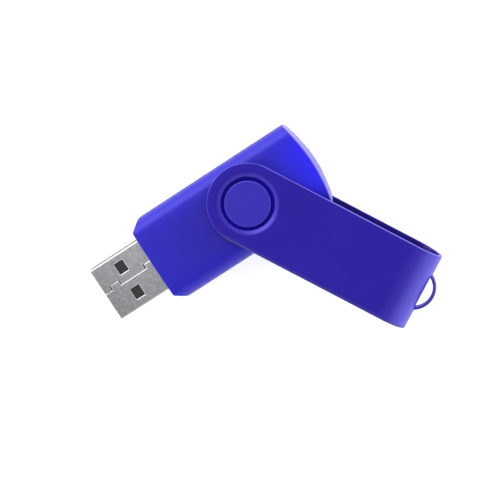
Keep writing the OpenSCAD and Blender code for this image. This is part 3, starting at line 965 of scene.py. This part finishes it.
def shell_mesh(board_z):
    """Outer half with its hollow, the hollow of its boss and the plug's opening."""
    hollow = body_half("hollow", WALL, False)
    core = rounds("pivot_core", [(0, 0)], BOSS_R - WALL, MID - WALL, CORE_STEPS, CORE_EDGE)
    hollow = combine(hollow, inner_fittings(board_z), "DIFFERENCE")
    for opening in (core, plug_opening()):
        hollow = combine(hollow, opening, "UNION")
    return combine(body_half("shell"), hollow, "DIFFERENCE")


def painted_light_amount(point):
    """How pale the plastic is, as painted light: most on the rear face, a little painted sheen on the
    bosses.
    """
    height = abs(point.z - MID)
    if point.x < rear_x(point.y, height, 0, False) + REAR_NEAR and point.x < 0:
        return REAR_PAINTED_LIGHT
    return BOSS_PAINTED_SHEEN if point.xy.length < BOSS_R and height > MID - BOSS_NEAR else 0.0


def place_mesh(mesh, matrix):
    """Moves a mesh to its place, right side out even if the matrix mirrors it."""
    mesh.transform(matrix)
    if matrix.determinant() < 0:
        mesh.flip_normals()
    clean(mesh)


LIFT = Matrix.Translation((0, 0, MID * MM))
UPSIDE_DOWN = Matrix.Scale(-1, 4, UP)


def make_upper_shell():
    """Upper half, with room for the lip and sockets for the pegs."""
    upper = shell_mesh(BOARD_TOP)
    room = lip_ring(LIP_OUT - LIP_GAP, WALL + OVERLAP, LIP_H + LIP_GAP)
    upper = combine(upper, room, "DIFFERENCE")
    sockets = rounds("sockets", PEGS, PEG_R + PEG_GAP, PEG_H + PEG_ROOM, PEG_STEPS)
    upper = combine(upper, sockets, "DIFFERENCE")
    place_mesh(upper, LIFT)
    mark(upper, PAINTED_LIGHT, painted_light_amount)
    finish_piece("upper_shell_body", upper, "drive", "body_plastic", ["upper_shell"])


def make_lower_shell():
    """Lower half, mirrored, with its lip and its pegs."""
    lower = shell_mesh(-BOARD_BOTTOM)
    place_mesh(lower, LIFT @ UPSIDE_DOWN)
    lip = lip_ring(LIP_OUT, WALL - OVERLAP, LIP_H)
    lip = combine(lip, plug_opening(), "DIFFERENCE")
    place_mesh(lip, LIFT)
    pegs = rounds("pegs", PEGS, PEG_R, PEG_H, PEG_STEPS, PEG_EDGE)
    place_mesh(pegs, LIFT)
    for part in (lip, pegs):
        lower = combine(lower, part, "UNION")
    clean(lower)
    mark(lower, PAINTED_LIGHT, painted_light_amount)
    finish_piece("lower_shell_body", lower, "drive", "body_plastic", ["lower_shell"])


# ---- swivel cover ----

COVER_H = cover_high.z
BEND = COVER_H / 2
STRAIGHT = COVER_LEN - BEND
FAR_PIVOT = 2 * STRAIGHT + math.pi * BEND
TURN = Matrix.Rotation(REST_ANGLE, 3, "Z")


def fold_cover(s, v, depth):
    """Place of a point of the sheet: s along it from the upper pivot, v across, depth from outside."""
    if s < STRAIGHT:
        x, z = s, COVER_H - depth
    elif s < STRAIGHT + math.pi * BEND:
        a = (s - STRAIGHT) / BEND
        x, z = STRAIGHT + (BEND - depth) * math.sin(a), BEND + (BEND - depth) * math.cos(a)
    else:
        x, z = FAR_PIVOT - s, depth
    return TURN @ Vector((x, v, z))


def collar_profile():
    """Drawn rim of the pivot hole, from the outer face round to the inner face: (radius, depth)."""
    tilt = math.atan(SHOULDER_SLOPE)
    turn = SHOULDER_TURN * (1 - math.sin(tilt))
    profile = [(HOLE_R + turn + SHOULDER - x, SHOULDER_SLOPE * x * x / 2 / SHOULDER_EASE)
               for x in spread(0, SHOULDER_EASE, EASE_STEP)]
    drop = profile[-1][1] + SHOULDER_SLOPE * (SHOULDER - SHOULDER_EASE)
    profile += [(HOLE_R + SHOULDER_TURN * (1 - math.sin(a)),
                 drop + SHOULDER_TURN * (math.cos(tilt) - math.cos(a)))
                for a in spread(tilt, math.pi / 2, TURN_STEP)]
    edge, fillet = COLLAR_EDGE, COLLAR_FILLET
    profile += [(HOLE_R + edge * (1 - c), COLLAR_DEP - edge * (1 - s)) for s, c in quarter(3)]
    profile += [(COLLAR_R - edge * (1 - s), COLLAR_DEP - edge * (1 - c)) for s, c in quarter(3)]
    return profile + [(COLLAR_R + fillet * (1 - c), SHEET + fillet * (1 - s)) for s, c in quarter(4)]


def loop_path():
    """Outer line of the lanyard loop in plan, an arc on two flared feet: (x, y, direction it faces)."""
    radius = (LOOP_LEN ** 2 / 4 + LOOP_OUT ** 2) / (2 * LOOP_OUT)
    centre = COVER_LEN + LOOP_OUT - radius
    reach = radius + LOOP_FLARE
    start = math.acos((COVER_LEN - LOOP_SUNK - centre + LOOP_FLARE) / reach)
    foot = Vector((centre + reach * math.cos(start), reach * math.sin(start)))
    half = [(foot.x - LOOP_FLARE * math.cos(a), foot.y - LOOP_FLARE * math.sin(a), a)
            for a in spread(0, start, FLARE_STEP)]
    half += [(centre + radius * math.cos(a), radius * math.sin(a), a)
             for a in spread(start, 0, ARC_STEP)[1:]]
    return [(x, -y, -a) for x, y, a in half] + list(reversed(half[:-1]))


def finer(loop, step):
    """The same closed outline with more points on its long sides."""
    result = []
    for a, b in zip(loop, loop[1:] + loop[:1]):
        a, b = Vector(a), Vector(b)
        result += [tuple(a.lerp(b, t)) for t in spread(0, 1, step / max((b - a).length, step))[:-1]]
    return result


def loop_strip():
    """Lanyard loop: a strip of the sheet that is pressed out in an arc at the middle of the bend."""
    half = LOOP_W / 2
    section = round_corners([(0, half), (-LOOP_T, half), (-LOOP_T, -half), (0, -half)], LOOP_EDGE, 3)
    section = [(d - BEND + math.sqrt(BEND ** 2 - h ** 2), h) for d, h in finer(section, LOOP_STEP)]
    builder = Builder()
    rings = []
    for x, y, a in loop_path():
        out = Vector((math.cos(a), math.sin(a), 0))
        rings.append([TURN @ (Vector((x, y, BEND)) + out * d + Vector((0, 0, h))) for d, h in section])
    builder.solid(rings)
    return builder.mesh("loop_strip")


def on_inner_face(point):
    """1 on an inner face of the cover's sheet, 0 on its outer face and round its drawn holes."""
    x, _, z = TURN.transposed() @ point
    if point.xy.length < SEAT_R:
        return 0.0
    depth = BEND - (abs(z - BEND) if x < STRAIGHT else math.hypot(x - STRAIGHT, z - BEND))
    return min(1.0, max(0.0, depth / SHEET * 2 - 1))


def cover_outline():
    """Outline of the flat blank, and the places of its points along the sides."""
    half, bent = COVER_W / 2, STRAIGHT + math.pi * BEND
    sides = spread(0, STRAIGHT, LEG_STEP) + spread(STRAIGHT, bent, BEND_STEP)[1:]
    sides += spread(bent, FAR_PIVOT, LEG_STEP)[1:]
    turns = spread(math.pi / 2, -math.pi / 2, ARC_STEP)[1:-1]
    end = [(FAR_PIVOT + half * math.cos(a), half * math.sin(a)) for a in reversed(turns)]
    start = [(-half * math.cos(a), half * math.sin(a)) for a in turns]
    return [(s, -half) for s in sides] + end + [(s, half) for s in reversed(sides)] + start, sides


def loop_slot():
    """Outline of the slot in the middle of the bend."""
    low, high = FAR_PIVOT / 2 - SLOT_W / 2, FAR_PIVOT / 2 + SLOT_W / 2
    reach = LOOP_LEN / 2 - SLOT_END
    return round_corners([(low, reach), (high, reach), (high, -reach), (low, -reach)], SLOT_CORNER)


def make_cover():
    outline, rows = cover_outline()
    keep = COVER_W / 2 - EDGE_CLEAR
    clear = HOLE_R + SHOULDER + RIM_CLEAR
    grid = [(s, v) for s in rows for v in spread(-keep, keep, CROSS_STEP)
            if math.hypot(s, v) > clear and math.hypot(s - FAR_PIVOT, v) > clear]
    builder = Builder()
    rims = [((0, 0), collar_profile()), ((FAR_PIVOT, 0), collar_profile())]
    sheet(builder, outline, [loop_slot()], SHEET, COVER_ROLL, fold_cover, grid, rims, steps=5)
    mesh = combine(builder.mesh("cover"), loop_strip(), "UNION")
    clean(mesh)
    mark(mesh, INNER, on_inner_face)
    finish_piece("cover_sheet", mesh, "cover", "cover_paint", ["swivel_cover"])


# ---- USB plug ----

FLAT_W = PLUG_W / 2 - PLUG_CORNER
FLAT_H = PLUG_H / 2 - PLUG_CORNER
CORNER_ARC = math.pi / 2 * PLUG_CORNER
SIDE_END = FLAT_W + CORNER_ARC
GIRTH = 4 * (FLAT_W + FLAT_H + CORNER_ARC)


def fold_plug(x, u, depth):
    """Place of a point of the plug's sheet: x along it, u round it from the middle of the top."""
    u = u if u <= GIRTH / 2 else u - GIRTH
    sign = 1 if u >= 0 else -1
    u = abs(u)
    r = PLUG_CORNER - depth
    if u <= FLAT_W:
        y, z = u, PLUG_H / 2 - depth
    elif u <= SIDE_END:
        a = (u - FLAT_W) / PLUG_CORNER
        y, z = FLAT_W + r * math.sin(a), FLAT_H + r * math.cos(a)
    elif u <= SIDE_END + 2 * FLAT_H:
        y, z = PLUG_W / 2 - depth, FLAT_H - (u - SIDE_END)
    elif u <= SIDE_END + 2 * FLAT_H + CORNER_ARC:
        a = (u - SIDE_END - 2 * FLAT_H) / PLUG_CORNER
        y, z = FLAT_W + r * math.cos(a), -FLAT_H - r * math.sin(a)
    else:
        y, z = GIRTH / 2 - u, -PLUG_H / 2 + depth
    return Vector((x, sign * y, z + MID))


def seam_line(side):
    """One side of the interlocked seam, from the tip backwards. side is 1 or -1."""
    g, wide = SEAM_GAP / 2 * side, RELIEF / 2 * side
    x1, x2, x3 = (TIP - back for back in SEAM_STEPS_BACK)
    high, low = g, g - SEAM_STEP
    return [(TIP, high), (x1 - wide, high), (x1 - wide, low), (x2 + wide, low), (x2 + wide, high),
            (x3 - wide, high), (x3 - wide, low), (PLUG_BACK, low)]


def corner_rows():
    """Places round the plug where its sheet is folded."""
    rows = []
    for start in (FLAT_W, SIDE_END + 2 * FLAT_H):
        fold = spread(start, start + CORNER_ARC, FOLD_STEP)
        rows += fold + [GIRTH - u for u in fold]
    return sorted(rows)


def plug_outline(rows):
    """Outline of the flat blank: tip, one side of the seam, rear end with the legs, other side."""
    legs = sorted(SIDE_END + FLAT_H - z for z in LEG_Z)
    leg_back = PLUG_BACK - LEG_LEN
    right, left = seam_line(1), [(x, GIRTH + u) for x, u in seam_line(-1)]
    rear = [(PLUG_BACK, u) for u in rows]
    for a, b in (legs, [GIRTH - u for u in reversed(legs)]):
        at = next(i for i, (_, u) in enumerate(rear) if u > a)
        rear[at:at] = [(PLUG_BACK, a), (leg_back, a), (leg_back, b), (PLUG_BACK, b)]
    return [(TIP, u) for u in rows] + left + list(reversed(rear)) + list(reversed(right))


def lock_windows():
    """Outlines of the two lock windows in each broad face."""
    low, high = TIP - WINDOW_BACK - WINDOW[0] / 2, TIP - WINDOW_BACK + WINDOW[0] / 2
    half = WINDOW[1] / 2
    return [round_corners([(high, u + half), (high, u - half), (low, u - half), (low, u + half)],
                          WINDOW_CORNER, 3)
            for u in (WINDOW_SIDE, GIRTH / 2 - WINDOW_SIDE, GIRTH / 2 + WINDOW_SIDE, GIRTH - WINDOW_SIDE)]


def make_plug_shell():
    rows = corner_rows()
    lines = spread(PLUG_BACK + PLUG_CLEAR, TIP - PLUG_CLEAR, PLUG_STEP)
    grid = [(x, u) for x in lines for u in rows]
    builder = Builder()
    sheet(builder, plug_outline(rows), lock_windows(), PLUG_SHEET, PLUG_ROLL, fold_plug, grid)
    mesh = builder.mesh("plug")
    clean(mesh)
    finish_piece("plug_sheet", mesh, "drive", "plug_steel", ["plug_shell"])


# ---- camera, light and floor ----

# Camera: almost from above. Angles in degrees, distance and target in metres, lens and sensor in mm
VIEW_AZIMUTH = 208.3
VIEW_ELEVATION = 81.6
VIEW_ROLL = 208.6
VIEW_DISTANCE = 0.585
VIEW_TARGET = (0.00545, 0.00853, 0.0053)
LENS = 204.8
SENSOR = 36.0

# Light tent: strength of sides and top, heights between which they merge, and the brighter side
TENT_SIDES = 1.65
TENT_TOP = 0.28
TENT_RISE = (0.45, 0.95)
TENT_BRIGHT_SIDE = 245
TENT_LEAN = 0.2

# Key light: a square soft box
KEY_AZIMUTH = 280
KEY_ELEVATION = 42
KEY_DISTANCE = 0.6
KEY_SIZE = 0.5
KEY_POWER = 1.8

# Floor: half its width in metres, how far it lies below the part in millimetres, and its own light
FLOOR_HALF = 3
FLOOR_DROP = 0.02
FLOOR_LIGHT = 0.6

# CAD nodes that show: bend in degrees up to which faces are one, and from which an edge is rounded
FLAT_ANGLE = 1
ROUNDED_ANGLE = 25
CONTACTS = ("contact_power", "contact_data_minus", "contact_data_plus", "contact_ground")


def toward(azimuth, elevation):
    """Direction with the given angles in degrees."""
    a, e = math.radians(azimuth), math.radians(elevation)
    return Vector((math.cos(e) * math.cos(a), math.cos(e) * math.sin(a), math.sin(e)))


def add_camera():
    back = toward(VIEW_AZIMUTH, VIEW_ELEVATION)
    azimuth = math.radians(VIEW_AZIMUTH)
    right = Vector((-math.sin(azimuth), math.cos(azimuth), 0))
    up = back.cross(right)
    turn = Matrix.Rotation(math.radians(VIEW_ROLL), 3, back)
    right, up = turn @ right, turn @ up
    data = bpy.data.cameras.new("camera")
    data.lens, data.sensor_width = LENS, SENSOR
    data.clip_start, data.clip_end = 0.01, 50
    camera = add_object("camera", data)
    place = Matrix.Translation(Vector(VIEW_TARGET) + back * VIEW_DISTANCE)
    camera.matrix_world = place @ Matrix((right, up, back)).transposed().to_4x4()
    bpy.context.scene.camera = camera


def add_world():
    """Light tent: bright round the horizon, dimmer overhead, and brighter on one side."""
    world = bpy.data.worlds.new("tent")
    bpy.context.scene.world = world
    world.use_nodes = True
    tree = world.node_tree
    background = tree.nodes["Background"]
    background.inputs["Color"].default_value = rgb(1, 1, 1)
    direction = add_node(tree, "ShaderNodeTexCoord").outputs["Generated"]
    height = add_node(tree, "ShaderNodeSeparateXYZ", {"Vector": direction}).outputs["Z"]
    rise = {"Value": height, "From Min": TENT_RISE[0], "From Max": TENT_RISE[1],
            "To Min": TENT_SIDES, "To Max": TENT_TOP}
    level = add_node(tree, "ShaderNodeMapRange", rise, interpolation_type="SMOOTHSTEP").outputs["Result"]
    sideways = {0: direction, 1: toward(TENT_BRIGHT_SIDE, 0)}
    across = add_node(tree, "ShaderNodeVectorMath", sideways, operation="DOT_PRODUCT").outputs["Value"]
    lean = {0: across, 1: TENT_LEAN, 2: 1.0}
    lean = add_node(tree, "ShaderNodeMath", lean, operation="MULTIPLY_ADD").outputs["Value"]
    strength = add_node(tree, "ShaderNodeMath", {0: level, 1: lean}, operation="MULTIPLY").outputs["Value"]
    tree.links.new(strength, background.inputs["Strength"])


def add_key_light():
    data = bpy.data.lights.new("key", "AREA")
    data.shape, data.size, data.energy = "SQUARE", KEY_SIZE, KEY_POWER
    light = add_object("key", data)
    out = toward(KEY_AZIMUTH, KEY_ELEVATION)
    light.location = out * KEY_DISTANCE
    light.rotation_euler = out.to_track_quat("Z", "Y").to_euler()


def add_floor():
    """Plain white floor, lit from below like a light table."""
    mesh = bpy.data.meshes.new("floor")
    corners = [(x * FLOOR_HALF, y * FLOOR_HALF, 0) for x, y in ((-1, -1), (1, -1), (1, 1), (-1, 1))]
    mesh.from_pydata(corners, [], [(0, 1, 2, 3)])
    floor = add_object("floor", mesh)
    floor.location.z = -FLOOR_DROP * MM
    finish = Finish("floor_white", 0.9, Emission_Color=rgb(1, 1, 1), Emission_Strength=FLOOR_LIGHT)
    whites = (0.80, 0.80, 0.80), (0.84, 0.84, 0.84)
    finish.feed("Base Color", finish.blend(finish.noise(400), *(rgb(*white) for white in whites)))
    mesh.materials.append(finish.material)


def soften(node, width):
    """Rounds the edges of a CAD node that shows, by modifiers."""
    thing = frame["nodes"][node]
    weld = thing.modifiers.new("weld", "WELD")
    weld.merge_threshold = WELD * MM
    flats = thing.modifiers.new("flats", "DECIMATE")
    flats.decimate_type, flats.angle_limit = "DISSOLVE", math.radians(FLAT_ANGLE)
    bevel = thing.modifiers.new("edges", "BEVEL")
    bevel.width, bevel.segments, bevel.limit_method = width * MM, 2, "ANGLE"
    bevel.angle_limit, bevel.harden_normals = math.radians(ROUNDED_ANGLE), True


def finish_cad_nodes():
    """Gives the CAD nodes that still show the finish of their material slot."""
    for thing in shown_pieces():
        for slot in thing.material_slots:
            if slot.name in MATERIALS:
                slot.material = MATERIALS[slot.name]


make_upper_shell()
make_lower_shell()
make_cover()
make_plug_shell()
finish_cad_nodes()
for contact in CONTACTS:
    soften(contact, CONTACT_EDGE)
soften("plug_insulator", CARRIER_EDGE)
add_camera()
add_world()
add_key_light()
add_floor()
bpy.context.scene.view_settings.view_transform = "Standard"
